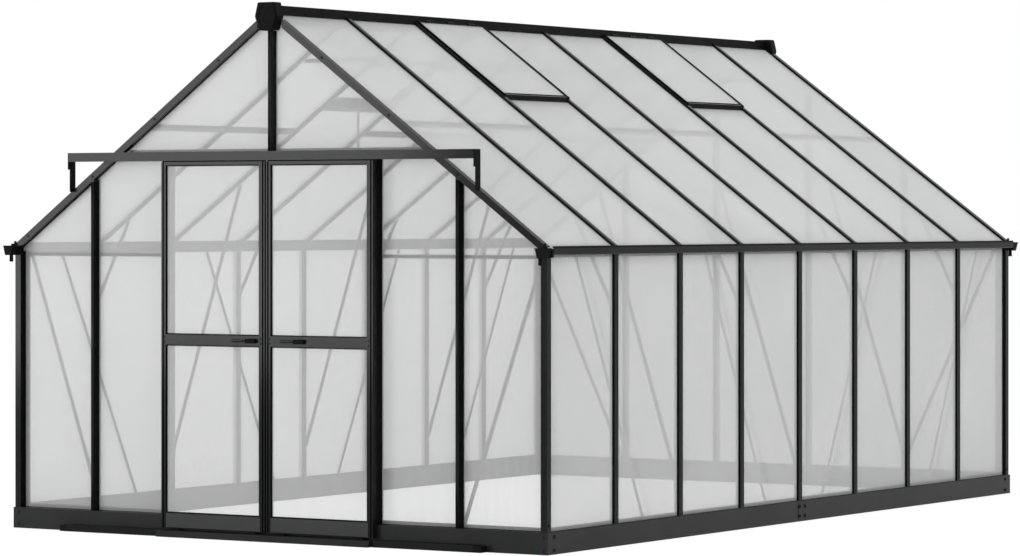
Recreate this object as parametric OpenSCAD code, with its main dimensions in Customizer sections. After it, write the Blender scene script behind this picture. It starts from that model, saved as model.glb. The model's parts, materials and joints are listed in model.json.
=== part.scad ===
// Aluminium greenhouse glazed with twin-wall sheets, on a steel base, with
// two sliding doors in the front gable and four vents in the roof.
// X runs across the front, +Y runs to the back, Z is up from the ground.

/* [Base] */
// Width of the steel base across the front
base_w = 3100; // [2600:10:3600]
// Height of the steel base
base_h = 102; // [60:1:160]
// Steel thickness of the base
base_t = 3; // [2:0.5:6]
// Width of the base's top flange, which carries the walls
base_flange = 65; // [60:1:90]
// Width of the base's foot flange on the ground
base_foot = 30; // [15:1:45]

/* [Bays] */
// Spacing of the glazing bars along the side walls
bay = 606; // [450:1:700]
// Number of bays along each side wall
bay_count = 8; // [6:1:10]
// From a base end to the first and the last bar line
end_margin = 21.5; // [18:0.5:30]

/* [Walls] */
// Height of the underside of the eave beam
wall_top = 1365; // [1200:1:1600]
// Outer faces of the side wall bars, inside the base's edge
wall_inset = 10; // [6:1:24]
// Thickness of the twin-wall sheet
sheet_t = 6; // [4:1:8]
// Width of a roof bar's outer cap and of the lips on a gable stud
bar_w = 25; // [20:1:34]
// Width of a side wall bar's outer cap
wall_bar_w = 36; // [26:1:42]
// How far a glazing bar's cap stands proud of the sheet
bar_proud = 13; // [8:1:16]
// Wall thickness of the aluminium sections
section_t = 3; // [2:0.5:4]
// Width of a glazing bar's inner rib
rib_w = 6; // [4:1:10]
// Depth of a glazing bar's inner rib
rib_d = 14; // [10:1:20]
// Height of the lips that hold a sheet's edge
lip_h = 15; // [8:1:24]
// Width of a corner post across the front
post_w = 33; // [28:1:44]
// Width of a corner post along the side
post_d = 35; // [24:1:35]
// How far a corner post stands back from the base's end face
post_in = 5; // [0:1:5]
// Width of a corner post's flange behind the end wall's sheet
post_flange = 35; // [17:1:50]

/* [End walls] */
// Width of a gable stud's outer fin
fin_w = 16; // [10:1:22]
// Depth of a gable stud's outer fin, from the base's end face to the sheet
fin_d = 40; // [34:1:44]
// Distance of the front studs from the centre line
front_stud_x = 1059; // [980:1:1150]
// Distance of the back wall's inner studs from the centre line
back_stud_in = 301; // [220:1:380]
// Distance of the back wall's outer studs from the centre line
back_stud_out = 910; // [820:1:1000]
// Height of the front transom bars' centre
transom_z = 1351; // [1100:1:1400]
// Height of a transom bar
transom_h = 18; // [12:1:30]

/* [Roof] */
// Pitch of the roof
pitch = 36; // [28:0.1:42]
// Height of the roof sheets' outer face over the eave beam's foot, at the wall
eave_rise = 20; // [17:1:60]
// Inward width of the eave beam
eave_beam_w = 42; // [36:1:60]
// Half width of the ridge beam
ridge_half = 16; // [10:1:24]
// Height of the ridge beam
ridge_h = 90; // [70:1:120]
// How far the ridge beam rises over the roof bars
ridge_rise = 30; // [10:1:40]
// How far the roof sheets reach out over the gutters
sheet_over = 9; // [4:1:14]
// Clearance between the pieces that meet on the slope
slope_fit = 0.2; // [0.1:0.05:0.4]
// Depth of the face of a verge rafter, square to the slope
verge_h = 32; // [30:1:60]
// Width of a verge rafter's top
verge_cap = 34; // [30:1:36]
// How far a verge rafter's lips reach over the end wall's sheet
verge_lip = 5; // [3:1:8]
// Width of a verge rafter's front fin
verge_fin = 16; // [12:1:20]
// Thickness of the purlins, square to the slope
purlin_t = 10; // [6:1:14]
// Width of the purlins along the slope
purlin_w = 25; // [16:1:40]
// Distance of the purlins from the ridge beam, across the house
purlin_x = 690; // [640:1:900]

/* [Ties and braces] */
// Height of the collar ties' centre below the ridge beam's top
collar_drop = 240; // [200:1:300]
// Foot of a short brace, below the eave beam
short_drop = 235; // [160:1:400]
// Head of a short brace, in from the wall
short_in = 220; // [160:1:400]
// Foot of a long brace, above the base
long_rise = 188; // [120:1:400]
// Head of a long brace, in from the wall
long_in = 472; // [300:1:600]
// Depth of the flat bars
flat_w = 20; // [14:1:26]
// Thickness of the flat bars
flat_t = 3; // [2:0.5:5]

/* [Ridge caps] */
// Width of a ridge cap at half height, where it is widest
cap_w = 130; // [110:1:150]
// Width of a ridge cap at its top
cap_top_w = 96; // [70:1:110]
// Width of a ridge cap at its foot
cap_foot_w = 80; // [60:1:100]
// Width of a ridge cap's front face
cap_face_w = 86; // [60:1:100]
// Depth of the bevels beside the front face
cap_bevel = 10; // [4:1:16]
// Height of a ridge cap
cap_h = 134; // [120:1:160]
// Length of a ridge cap along the ridge
cap_l = 60; // [50:1:68]
// How far a ridge cap stands out from the base's end face
cap_out = 33; // [30:1:48]
// How far a ridge cap rises over the ridge beam
cap_rise = 13; // [6:1:20]
// Space between a ridge cap and the cut ends of the verge rafters
cap_gap = 5; // [2:1:10]

/* [Gutters] */
// Width of a gutter
gutter_w = 36; // [30:1:80]
// Height of a gutter
gutter_h = 40; // [34:1:60]
// How far the gutter ends reach past the base's end faces
gutter_out = 53; // [46:1:80]
// How far an outlet box reaches back into its gutter
outlet_in = 12; // [4:1:15]
// How far an outlet box's top lies under the gutter's
outlet_drop = 9; // [4:1:16]
// Width of an outlet box at its top
outlet_w = 66; // [60:1:80]
// Width of an outlet box at its bottom
outlet_foot = 41; // [30:1:50]
// Height of an outlet box
outlet_h = 47; // [40:1:60]
// Diameter of an outlet spout
spout_d = 20; // [16:1:30]
// Length of an outlet spout
spout_l = 32; // [20:1:60]
// Distance of a spout from its box's front
spout_in = 15; // [13:1:30]
// Distance of a spout inwards from its box's middle
spout_side = 10; // [0:1:12]
// Width of the nub on an outlet box, in front of the verge rafter's end
nub_w = 13; // [8:1:20]
// Depth of that nub
nub_d = 6; // [3:1:12]
// Height of that nub
nub_h = 22; // [10:1:26]

/* [Vents] */
// Distance of a vent's lower edge from the ridge beam, across the house
vent_x = 524; // [440:1:620]
// Width of the ledges under a vent's sheet, measured from the bar line
vent_stile = 30; // [24:1:44]
// Width of a vent's top and bottom rail, across the house
vent_rail = 15; // [8:1:30]
// Height of a vent frame over the sheets
vent_rise = 19; // [14:1:26]
// Length of a vent's opening stay
stay_l = 250; // [160:1:320]

/* [Doors] */
// Width of one door leaf
leaf_w = 610; // [500:1:620]
// Gap between the two closed leaves
leaf_gap = 8; // [6:1:14]
// Thickness of a door leaf
leaf_t = 24; // [16:1:25]
// Clearance between the leaves and the gable studs
leaf_clear = 8; // [8:0.5:12]
// Height of a leaf's underside over the ground
leaf_z = 40; // [38:1:60]
// Clearance between a leaf's head and the header rail
leaf_head = 5; // [5:1:10]
// Height of a leaf's bottom rail
leaf_kick = 74; // [50:1:110]
// Height of the mid rail's lower edge over the ground
mid_z = 921; // [800:1:1100]
// Height of the mid rail
mid_h = 50; // [40:1:70]
// Height of a leaf's top rail
leaf_top = 16; // [12:1:40]
// Width of a leaf's left stile
stile_left = 26; // [24:1:40]
// Width of a leaf's right stile
stile_right = 34; // [30:1:46]
// Width of the raised lip along a stile's outer edge
stile_lip = 7; // [4:1:9]
// Width of the groove beside a stile's lip
stile_groove = 8; // [4:1:10]
// Depth of the groove in a stile
groove_d = 10; // [4:1:14]
// Length of a door handle
handle_l = 150; // [120:1:180]
// Height of a door handle
handle_h = 22; // [16:1:30]
// Thickness of a handle's back plate
handle_plate = 3; // [2:0.5:5]
// Thickness of a handle's lever
lever_t = 8; // [5:1:12]
// Length of a handle's grip
grip_l = 62; // [40:1:80]
// How far a handle's grip stands out
grip_d = 16; // [10:1:20]
// Distance of the left leaf's handle from its meeting edge
handle_in_left = 47; // [42:1:90]
// Distance of the right leaf's handle from its meeting edge
handle_in_right = 75; // [42:1:100]

/* [Door tracks] */
// Height of the header rail's underside
rail_z = 1803; // [1780:1:1820]
// Height of the header rail
rail_h = 43; // [40:1:70]
// Depth of the header rail
rail_d = 41; // [41:1:60]
// Half length of the header rail
rail_half = 1175; // [1172:1:1240]
// Depth of the inward lips under the header rail
rail_lip = 10; // [6:1:10]
// Height of the beam behind the header rail
header_h = 34; // [24:1:44]
// Height of that beam behind the sheets
header_in = 56; // [46:1:80]
// Height of the end plates of the header rail
end_plate_h = 190; // [150:1:200]
// How far an end plate keeps its full depth below the header rail
end_plate_drop = 38; // [10:1:60]
// How much shallower an end plate is below that
end_plate_in = 15; // [5:1:25]
// Diameter of the door rollers
roller_d = 20; // [16:1:24]
// Width of a door roller
roller_w = 6; // [4:1:7]
// Distance of the rollers from a leaf's edges
roller_in = 80; // [60:1:160]
// Running clearance of a roller over its track
roller_gap = 0.3; // [0.1:0.1:0.6]
// Space between a roller and its hanger plate
hanger_gap = 5; // [3:0.5:6]
// Depth of the ground guide in front of the base
guide_d = 50; // [46:1:70]
// Height of the ground guide
guide_h = 33; // [26:1:35]
// Half length of the ground guide
guide_half = 1180; // [1176:1:1220]
// Length of the black end pieces of the guide
guide_end = 40; // [20:1:60]
// Depth of the threshold ramp in front of the guide
ramp_d = 27; // [20:1:100]
// Height of the threshold ramp
ramp_h = 30; // [15:1:33]

/* [Hidden] */
$fn = 48;
frame_grey = [0.16, 0.17, 0.18];
cap_black = [0.06, 0.06, 0.07];
sheet_white = [0.86, 0.89, 0.91, 0.5];
far = 6000;                                   // reach of the cutting shapes
lap = 1;                                      // how far joined shapes run into each other

// The base's end faces, placed so that the whole outline is centred on the origin
base_l = bay * bay_count + 2 * end_margin;
front_reach = guide_d + ramp_d;
front_y = (front_reach - gutter_out) / 2 - base_l / 2;
back_y = front_y + base_l;
function line_y(i) = front_y + end_margin + i * bay;

// Planes of the side walls, from the outside in
half_w = base_w / 2;
side_x = half_w - wall_inset;
sheet_x = side_x - bar_proud;
inner_x = sheet_x - sheet_t;
flange_x = inner_x - section_t;
rib_x = flange_x - rib_d;
post_x = side_x + section_t;

// Planes of the end walls, from the base's end face inwards
end_lip = fin_d - section_t;
end_inner = fin_d + sheet_t;
end_flange = end_inner + section_t;
end_rib = end_flange + rib_d;
post_lip = post_in + post_d + rib_d;
post_end = max(post_lip, end_flange);

// The roof: the height of its sheets' outer face, and of a plane v outside it
eave_z = wall_top + eave_rise;
function roof_z(x, v = 0) = eave_z + (side_x - x) * tan(pitch) + v / cos(pitch);
roof_in = -sheet_t - 2 * slope_fit;
roof_flange = roof_in - section_t;
roof_rib = roof_flange - rib_d;
verge_low = bar_proud - verge_h;
verge_seat = roof_flange;
verge_foot = verge_seat - verge_lip;
ridge_top = roof_z(ridge_half, bar_proud) + ridge_rise;
cap_z = ridge_top + cap_rise - cap_h;
cap_in = cap_l - cap_out;
verge_x = cap_w / 2 + cap_gap;
beam_x = side_x - eave_beam_w;
vent_low = ridge_half + vent_x;
purlin_at = ridge_half + purlin_x;
function has_vent(i) = i == 2 || i == bay_count - 3;

// The door leaves, behind the header rail's front wall
leaf_back = -leaf_clear;
leaf_front = leaf_back - leaf_t;
leaf_zt = rail_z - leaf_head;
leaf_in = leaf_gap / 2;
leaf_out = leaf_in + leaf_w;
jamb_x = leaf_out - fin_w / 2;
track_z = rail_z + section_t;

// Shapes given across the house, (x, z), and carried from y0 to y1
module across(y0, y1) {
    translate([0, y1, 0]) rotate([90, 0, 0]) linear_extrude(y1 - y0) children();
}

// A box from one corner to the opposite one
module block(a, b) {
    translate(a) cube(b - a);
}

module front_end() {
    translate([0, front_y, 0]) children();
}

module back_end() {
    translate([0, back_y, 0]) mirror([0, 1, 0]) children();
}

module both_ends() {
    front_end() children();
    back_end() children();
}

module both_sides() {
    children();
    mirror([1, 0, 0]) children();
}

// Everything under the roof plane v, as a shape across the house
module under_roof(v) {
    polygon([[-half_w, 0], [half_w, 0], [half_w, roof_z(half_w, v)],
             [0, roof_z(0, v)], [-half_w, roof_z(half_w, v)]]);
}

// One layer of the right slope, from plane v0 to v1, from xa out to xb
module slope_layer(y0, y1, v0, v1, xa, xb) {
    across(y0, y1)
        polygon([[xa, roof_z(xa, v0)], [xb, roof_z(xb, v0)],
                 [xb, roof_z(xb, v1)], [xa, roof_z(xa, v1)]]);
}

// A flat bar across the house or along it, from p to q, w wide
module flat_bar(p, q, w = flat_w) {
    run = q - p;
    translate(p) rotate(atan2(run[1], run[0])) translate([0, -w / 2])
        square([norm(run), w]);
}

// Base
module base_end() {
    block([-half_w, 0, 0], [half_w, base_t, base_h]);
    block([base_t - half_w, 0, base_h - base_t],
          [half_w - base_t, base_flange, base_h]);
    block([base_t - half_w, 0, 0], [half_w - base_t, base_foot, base_t]);
}

module base_side() {
    block([half_w - base_t, front_y + base_t, 0], [half_w, back_y - base_t, base_h]);
    block([half_w - base_flange, front_y + base_flange, base_h - base_t],
          [half_w, back_y - base_flange, base_h]);
    block([half_w - base_foot, front_y + base_foot, 0],
          [half_w, back_y - base_foot, base_t]);
}

module base_front() {
    color(frame_grey) front_end() base_end();
}

module base_back() {
    color(frame_grey) back_end() base_end();
}

module base_left() {
    color(frame_grey) mirror([1, 0, 0]) base_side();
}

module base_right() {
    color(frame_grey) base_side();
}

// Walls
module corner_profile() {
    translate([post_x - post_w, post_in]) square([post_w, post_d]);
    translate([sheet_x, post_in]) square([section_t, post_lip - post_in]);
    translate([flange_x, post_in]) square([section_t, end_flange - post_in]);
    translate([flange_x - rib_d, end_lip]) square([rib_d + section_t, section_t]);
    translate([flange_x - post_flange, end_inner])
        square([post_flange + section_t, section_t]);
}

module corner_posts() {
    color(frame_grey) both_ends() both_sides() intersection() {
        translate([0, 0, base_h]) linear_extrude(far) corner_profile();
        across(-far, far) under_roof(verge_low - slope_fit);
        union() {
            block([0, -far, 0], [side_x, far, wall_top]);
            block([0, -far, 0], [far, far, wall_top - section_t]);
        }
    }
}

// Section of a side wall bar: cap, web, inner flange and rib, outside to inside
module side_bar_profile() {
    translate([sheet_x, -wall_bar_w / 2]) square([bar_proud, wall_bar_w]);
    translate([flange_x, -section_t / 2]) square([sheet_x - flange_x + lap, section_t]);
    translate([flange_x, -bar_w / 2]) square([section_t, bar_w]);
    translate([rib_x, -rib_w / 2]) square([rib_d + lap, rib_w]);
}

module side_bars() {
    color(frame_grey) both_sides() for (i = [1 : bay_count - 1])
        translate([0, line_y(i), base_h]) linear_extrude(wall_top - base_h)
            side_bar_profile();
}

// Ends of the clear run between two neighbouring bars, w wide, with its end bays
// starting a given distance inside the base's end faces
function run_from(i, w = bar_w, inset = end_flange) =
    i == 0 ? front_y + inset : line_y(i) + w / 2;
function run_to(i, w = bar_w, inset = end_flange) = i == bay_count - 1 ? back_y - inset
                                                   : line_y(i + 1) - w / 2;

module side_sill(i) {
    y0 = run_from(i, wall_bar_w, post_end);
    y1 = run_to(i, wall_bar_w, post_end);
    block([flange_x, y0, base_h], [side_x, y1, base_h + section_t]);
    block([flange_x, y0, base_h], [inner_x, y1, base_h + section_t + lip_h]);
}

module eave_beams() {
    color(frame_grey) both_sides() {
        across(front_y + end_flange, back_y - end_flange)
            polygon([[beam_x, wall_top], [side_x, wall_top],
                     [side_x, roof_z(side_x, roof_in)],
                     [beam_x, roof_z(beam_x, roof_in)]]);
        for (i = [0 : bay_count - 1])
            block([flange_x, run_from(i), wall_top - lip_h],
                  [inner_x, run_to(i), wall_top + lap]);
    }
}

// Gutters
gutter_x = side_x + gutter_w;
gutter_z = wall_top - section_t;
gutter_top = gutter_z + gutter_h;
gutter_in = roof_z(side_x + section_t, roof_in) - slope_fit;
outlet_top = gutter_top - outlet_drop;

module gutter() {
    across(front_y + outlet_in, back_y - outlet_in) {
        translate([side_x, gutter_z]) square([gutter_w, section_t]);
        translate([side_x, gutter_z]) square([section_t, gutter_in - gutter_z]);
        translate([gutter_x - section_t, gutter_z]) square([section_t, gutter_h]);
        translate([gutter_x - 2 * section_t, gutter_top - section_t])
            square([2 * section_t, section_t]);
    }
}

module gutter_left() {
    color(frame_grey) mirror([1, 0, 0]) gutter();
}

module gutter_right() {
    color(frame_grey) gutter();
}

module outlet_outline() {
    mid = gutter_x - outlet_w / 2;
    polygon([[mid - outlet_foot / 2, outlet_top - outlet_h],
             [mid + outlet_foot / 2, outlet_top - outlet_h],
             [gutter_x, outlet_top], [gutter_x - outlet_w, outlet_top]]);
}

// An outlet box in front of a corner post, closing the gutter's end
module gutter_outlet() {
    across(-gutter_out, 0) outlet_outline();
    across(-lap, outlet_in) intersection() {
        outlet_outline();
        union() {
            translate([side_x, gutter_z]) square([gutter_w, gutter_h]);
            translate([post_x, 0]) square([gutter_w, gutter_top]);
        }
    }
    translate([gutter_x - outlet_w / 2 - spout_side, spout_in - gutter_out,
               outlet_top - outlet_h - spout_l])
        cylinder(d = spout_d, h = spout_l + lap);
    block([post_x - nub_w, -nub_d, outlet_top - lap], [post_x, 0, outlet_top + nub_h]);
}

module gutter_outlets() {
    color(cap_black) both_ends() both_sides() gutter_outlet();
}

// Section of a gable stud: fin, outer lip, web, inner flange and rib
module stud_profile() {
    translate([-fin_w / 2, 0]) square([fin_w, fin_d]);
    translate([-bar_w / 2, end_lip]) square([bar_w, section_t]);
    translate([-section_t / 2, end_lip]) square([section_t, end_flange - end_lip]);
    translate([-bar_w / 2, end_inner]) square([bar_w, section_t]);
    translate([-rib_w / 2, end_inner]) square([rib_w, section_t + rib_d]);
}

// A stud of an end wall, cut off under the verge rafter
module end_stud(x) {
    intersection() {
        translate([x, 0, base_h]) linear_extrude(far) stud_profile();
        across(-far, far) under_roof(verge_low - slope_fit);
    }
}

module front_studs() {
    color(frame_grey) front_end() {
        both_sides() end_stud(front_stud_x);
        translate([0, 0, rail_z + header_h])
            linear_extrude(cap_z - slope_fit - rail_z - header_h) stud_profile();
    }
}

module door_jambs() {
    color(frame_grey) front_end() both_sides()
        translate([jamb_x, 0, base_h]) linear_extrude(rail_z - base_h) stud_profile();
}

// The beam over the doorway, between the two slopes
module door_header() {
    color(frame_grey) front_end() intersection() {
        union() {
            block([-half_w, 0, rail_z], [half_w, end_flange, rail_z + header_h]);
            both_sides() block([bar_w / 2, end_inner, rail_z],
                               [half_w, end_flange, rail_z + header_in]);
        }
        across(-far, far) under_roof(verge_low - slope_fit);
    }
}

module back_studs() {
    color(frame_grey) back_end() both_sides() {
        end_stud(back_stud_in);
        end_stud(back_stud_out);
    }
}

// The sill between two studs of an end wall, from xa to xb
module end_sill(xa, xb) {
    block([xa, end_lip, base_h], [xb, end_flange, base_h + section_t]);
    block([xa, end_inner, base_h], [xb, end_flange, base_h + section_t + lip_h]);
}

end_last = flange_x - post_flange;            // where an end wall meets the corner post

module wall_sills() {
    color(frame_grey) {
        both_sides() for (i = [0 : bay_count - 1]) side_sill(i);
        front_end() both_sides() {
            end_sill(jamb_x + bar_w / 2, front_stud_x - bar_w / 2);
            end_sill(front_stud_x + bar_w / 2, end_last);
        }
        back_end() {
            end_sill(bar_w / 2 - back_stud_in, back_stud_in - bar_w / 2);
            both_sides() {
                end_sill(back_stud_in + bar_w / 2, back_stud_out - bar_w / 2);
                end_sill(back_stud_out + bar_w / 2, end_last);
            }
        }
    }
}

module front_transoms() {
    low = transom_z - transom_h / 2;
    color(frame_grey) front_end() both_sides() {
        block([jamb_x + bar_w / 2, end_inner, low],
              [front_stud_x - bar_w / 2, end_rib, low + transom_h]);
        block([front_stud_x + bar_w / 2, end_inner, low],
              [end_last, end_rib, low + transom_h]);
        block([front_stud_x + bar_w / 2, end_flange, low],
              [beam_x, end_rib, low + transom_h]);
    }
}

// Roof frame
module verge_rafter() {
    slope_layer(0, verge_fin, verge_low, bar_proud, verge_x, side_x);
    slope_layer(0, verge_cap, bar_proud - section_t, bar_proud, verge_x, side_x);
    slope_layer(0, verge_fin + bar_proud, 0, section_t, verge_x, side_x);
    slope_layer(0, end_flange, verge_seat, roof_in, verge_x, side_x);
    slope_layer(cap_in, end_flange, verge_seat, roof_in, ridge_half, side_x);
    slope_layer(end_lip, fin_d, verge_foot, roof_in, ridge_half, side_x);
    slope_layer(end_inner, end_flange, verge_foot, roof_in, ridge_half, side_x);
}

module verge_rafters() {
    color(frame_grey) both_ends() both_sides() verge_rafter();
}

module ridge_beam() {
    color(frame_grey)
        block([-ridge_half, front_y + cap_in, ridge_top - ridge_h],
              [ridge_half, back_y - cap_in, ridge_top]);
}

// A ridge cap: six-sided across the house, with bevels beside its front face
module ridge_cap() {
    intersection() {
        across(-cap_out, cap_in) translate([0, cap_z])
            polygon([[-cap_foot_w / 2, 0], [cap_foot_w / 2, 0], [cap_w / 2, cap_h / 2],
                     [cap_top_w / 2, cap_h], [-cap_top_w / 2, cap_h],
                     [-cap_w / 2, cap_h / 2]]);
        linear_extrude(far)
            polygon([[-cap_face_w / 2, -cap_out], [cap_face_w / 2, -cap_out],
                     [cap_w / 2, cap_bevel - cap_out], [cap_w / 2, cap_in],
                     [-cap_w / 2, cap_in], [-cap_w / 2, cap_bevel - cap_out]]);
    }
}

module ridge_caps() {
    color(cap_black) both_ends() ridge_cap();
}

// A roof bar on line i: cap, web, inner flange and rib
module roof_bar(i) {
    y = line_y(i);
    web = section_t / 2;
    over = side_x + section_t;
    slope_layer(y - bar_w / 2, y + bar_w / 2, 0, bar_proud, ridge_half, over);
    slope_layer(y - web, y + web, roof_in + slope_fit, lap, ridge_half, over);
    slope_layer(y - web, y + web, roof_flange, lap, ridge_half, beam_x);
    slope_layer(y - bar_w / 2, y + bar_w / 2, roof_flange, roof_in, ridge_half, beam_x);
    slope_layer(y - rib_w / 2, y + rib_w / 2, roof_rib, roof_flange + lap,
                ridge_half, beam_x);
}

module roof_bars() {
    color(frame_grey) both_sides() for (i = [1 : bay_count - 1]) roof_bar(i);
}

// Cross bars under the sheets: a purlin in a plain bay, a sill under a vent
module roof_crossbars() {
    color(frame_grey) both_sides() for (i = [0 : bay_count - 1])
        if (has_vent(i))
            slope_layer(run_from(i), run_to(i), roof_rib, roof_in,
                        vent_low - vent_stile / 2, vent_low + vent_stile / 2);
        else
            slope_layer(run_from(i), run_to(i), roof_in - purlin_t, roof_in,
                        purlin_at, purlin_at + purlin_w);
}

// Ties and braces
module collar_ties() {
    z = ridge_top - collar_drop;
    reach = side_x - (z - eave_z + (section_t - roof_rib) / cos(pitch)) / tan(pitch);
    color(frame_grey) for (i = [1 : bay_count - 1]) {
        y = line_y(i) + rib_w / 2;
        across(y, y + flat_t) translate([-reach, z - flat_w / 2])
            square([2 * reach, flat_w]);
    }
}

// A brace from a wall bar at height z to the roof bar at distance x
module knee_brace(i, z, x) {
    y = line_y(i) + rib_w / 2;
    across(y, y + flat_t)
        flat_bar([rib_x + rib_d / 4, z], [x, roof_z(x, roof_rib)]);
}

module knee_braces() {
    color(frame_grey) both_sides() for (i = [1 : bay_count - 1])
        if (i % 2 == 1) knee_brace(i, wall_top - short_drop, side_x - short_in);
        else knee_brace(i, base_h + long_rise, side_x - long_in);
}

// A diagonal over one bay's length that crosses bar i at half height
module wall_brace(i, lean) {
    p = [line_y(i) - lean * bay / 2, wall_top - lip_h];
    q = [line_y(i) + lean * bay / 2, base_h + lip_h];
    translate([rib_x - flat_t, 0, 0]) rotate([90, 0, 90]) linear_extrude(flat_t)
        flat_bar(p, q);
}

// A diagonal from a corner under the eave to the foot of the stud at x
module end_brace(x) {
    across(end_rib, end_rib + flat_t)
        flat_bar([rib_x - flat_w, wall_top - lip_h], [x, base_h + lip_h]);
}

module wall_braces() {
    color(frame_grey) both_sides() {
        for (i = [1 : 2 : bay_count - 1]) wall_brace(i, i < bay_count / 2 ? 1 : -1);
        front_end() end_brace(front_stud_x);
        back_end() end_brace(back_stud_out);
    }
}

// Sheets
module side_sheets() {
    for (i = [0 : bay_count - 1]) {
        y0 = i == 0 ? front_y + post_in + post_d : line_y(i) + section_t / 2;
        y1 = i == bay_count - 1 ? back_y - post_in - post_d : line_y(i + 1) - section_t / 2;
        block([inner_x, y0, base_h + section_t], [sheet_x, y1, wall_top]);
    }
}

module side_sheets_left() {
    color(sheet_white) mirror([1, 0, 0]) side_sheets();
}

module side_sheets_right() {
    color(sheet_white) side_sheets();
}

// Where the sheet of bay i starts under the ridge
function sheet_from(i) = has_vent(i) ? vent_low : ridge_half;

module roof_sheets() {
    difference() {
        for (i = [0 : bay_count - 1])
            slope_layer(i == 0 ? front_y + verge_fin : line_y(i) + section_t / 2,
                        i == bay_count - 1 ? back_y - verge_fin
                                           : line_y(i + 1) - section_t / 2,
                        roof_in + slope_fit, -slope_fit, sheet_from(i),
                        side_x + sheet_over);
        both_ends() block([0, -far, 0], [verge_x, cap_in, far]);
    }
}

module roof_sheets_left() {
    color(sheet_white) mirror([1, 0, 0]) roof_sheets();
}

module roof_sheets_right() {
    color(sheet_white) roof_sheets();
}

// A sheet of an end wall from xa to xb, over z0, cut under the roof and the ridge beam
module end_sheet(xa, xb, z0, z1 = far) {
    across(fin_d, end_inner) difference() {
        intersection() {
            translate([xa, z0]) square([xb - xa, z1 - z0]);
            under_roof(verge_seat - slope_fit);
        }
        translate([-ridge_half, ridge_top - ridge_h]) square([2 * ridge_half, ridge_h]);
    }
}

module front_sheets() {
    z = base_h + section_t;
    web = section_t / 2;
    color(sheet_white) front_end() both_sides() {
        end_sheet(jamb_x + web, front_stud_x - web, z, rail_z);
        end_sheet(front_stud_x + web, flange_x, z);
        end_sheet(web, half_w, rail_z + header_h);
    }
}

module back_sheets() {
    z = base_h + section_t;
    web = section_t / 2;
    color(sheet_white) back_end() {
        end_sheet(web - back_stud_in, back_stud_in - web, z);
        both_sides() {
            end_sheet(back_stud_in + web, back_stud_out - web, z);
            end_sheet(back_stud_out + web, flange_x, z);
        }
    }
}

// Vents, in the third bay from each end of both slopes
module each_vent() {
    both_sides() for (i = [2, bay_count - 3]) translate([0, line_y(i), 0]) children();
}

module vent_frame() {
    web = section_t / 2;
    wall = bar_w / 2 + section_t;
    low = roof_in + slope_fit;
    seat = vent_rise - sheet_t;
    for (side = [0, 1]) translate([0, side * bay, 0]) mirror([0, side, 0]) {
        slope_layer(web, wall, low, -slope_fit, ridge_half, vent_low);
        slope_layer(bar_w / 2, wall, low, vent_rise, ridge_half, vent_low);
        slope_layer(bar_w / 2, vent_stile, seat - section_t, seat, ridge_half, vent_low);
    }
    for (x = [ridge_half, vent_low - vent_rail])
        slope_layer(wall - lap, bay - wall + lap, low, vent_rise, x, x + vent_rail);
}

module vent_frames() {
    color(frame_grey) each_vent() vent_frame();
}

module vent_sheets() {
    wall = bar_w / 2 + section_t;
    color(sheet_white) each_vent()
        slope_layer(wall, bay - wall, vent_rise - sheet_t, vent_rise,
                    ridge_half + vent_rail, vent_low - vent_rail);
}

module vent_stays() {
    z = roof_z(vent_low + flat_t / 2, roof_rib) - slope_fit;
    color(cap_black) each_vent()
        block([vent_low - flat_t / 2, bay / 2 - flat_w / 2, z - stay_l],
              [vent_low + flat_t / 2, bay / 2 + flat_w / 2, z]);
}

// Door tracks
module header_rail() {
    color(frame_grey) front_end() {
        block([-rail_half, -rail_d, rail_z], [rail_half, section_t - rail_d, rail_z + rail_h]);
        block([-rail_half, -section_t, rail_z], [rail_half, 0, rail_z + rail_h]);
        block([-rail_half, -rail_d, rail_z + rail_h - section_t],
              [rail_half, 0, rail_z + rail_h]);
        block([-rail_half, -rail_d, rail_z],
              [rail_half, section_t - rail_d + rail_lip, track_z]);
    }
}

// An end plate of the header rail, in front of the verge rafter and over it
module rail_end() {
    top = rail_z + rail_h;
    over = roof_z(rail_half, bar_proud);
    full = rail_z - end_plate_drop;
    block([rail_half, -rail_d, full], [rail_half + section_t, 0, top]);
    block([rail_half, end_plate_in - rail_d, top - end_plate_h],
          [rail_half + section_t, 0, full + lap]);
    block([rail_half, -lap, over], [rail_half + section_t, verge_fin, top]);
}

// Black end pieces of the header rail and of the ground guide
module track_ends() {
    color(cap_black) front_end() both_sides() {
        rail_end();
        block([guide_half, -guide_d, 0],
              [guide_half + guide_end, 0, guide_h - section_t]);
    }
}

module ground_guide() {
    color(frame_grey) front_end() {
        block([-guide_half, -guide_d, 0], [guide_half, 0, section_t]);
        block([-guide_half, -guide_d, 0], [guide_half, section_t - guide_d, guide_h]);
        block([-guide_half, -section_t, 0], [guide_half, 0, guide_h]);
    }
}

module threshold_ramp() {
    color(frame_grey) front_end()
        translate([-leaf_out, 0, 0]) rotate([90, 0, 90]) linear_extrude(2 * leaf_out)
            polygon([[-front_reach, 0], [-guide_d, 0], [-guide_d - ramp_d / 2, ramp_h]]);
}

// Door leaves, drawn from their left edge in the plane of the front wall
// Section of a stile: a lip at the edge, a groove, and the face inside them
module stile_profile(w) {
    difference() {
        translate([0, leaf_front]) square([w, leaf_t]);
        translate([stile_lip, leaf_front]) square([stile_groove, groove_d]);
    }
}

module leaf_frame() {
    translate([0, 0, leaf_z]) linear_extrude(leaf_zt - leaf_z) {
        stile_profile(stile_left);
        translate([leaf_w, 0]) mirror([1, 0]) stile_profile(stile_right);
    }
    a = stile_left - lap;
    b = leaf_w - stile_right + lap;
    block([a, leaf_front, leaf_z], [b, leaf_back, leaf_z + leaf_kick]);
    block([a, leaf_front, mid_z], [b, leaf_back, mid_z + mid_h]);
    block([a, leaf_front, leaf_zt - leaf_top], [b, leaf_back, leaf_zt]);
}

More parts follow.
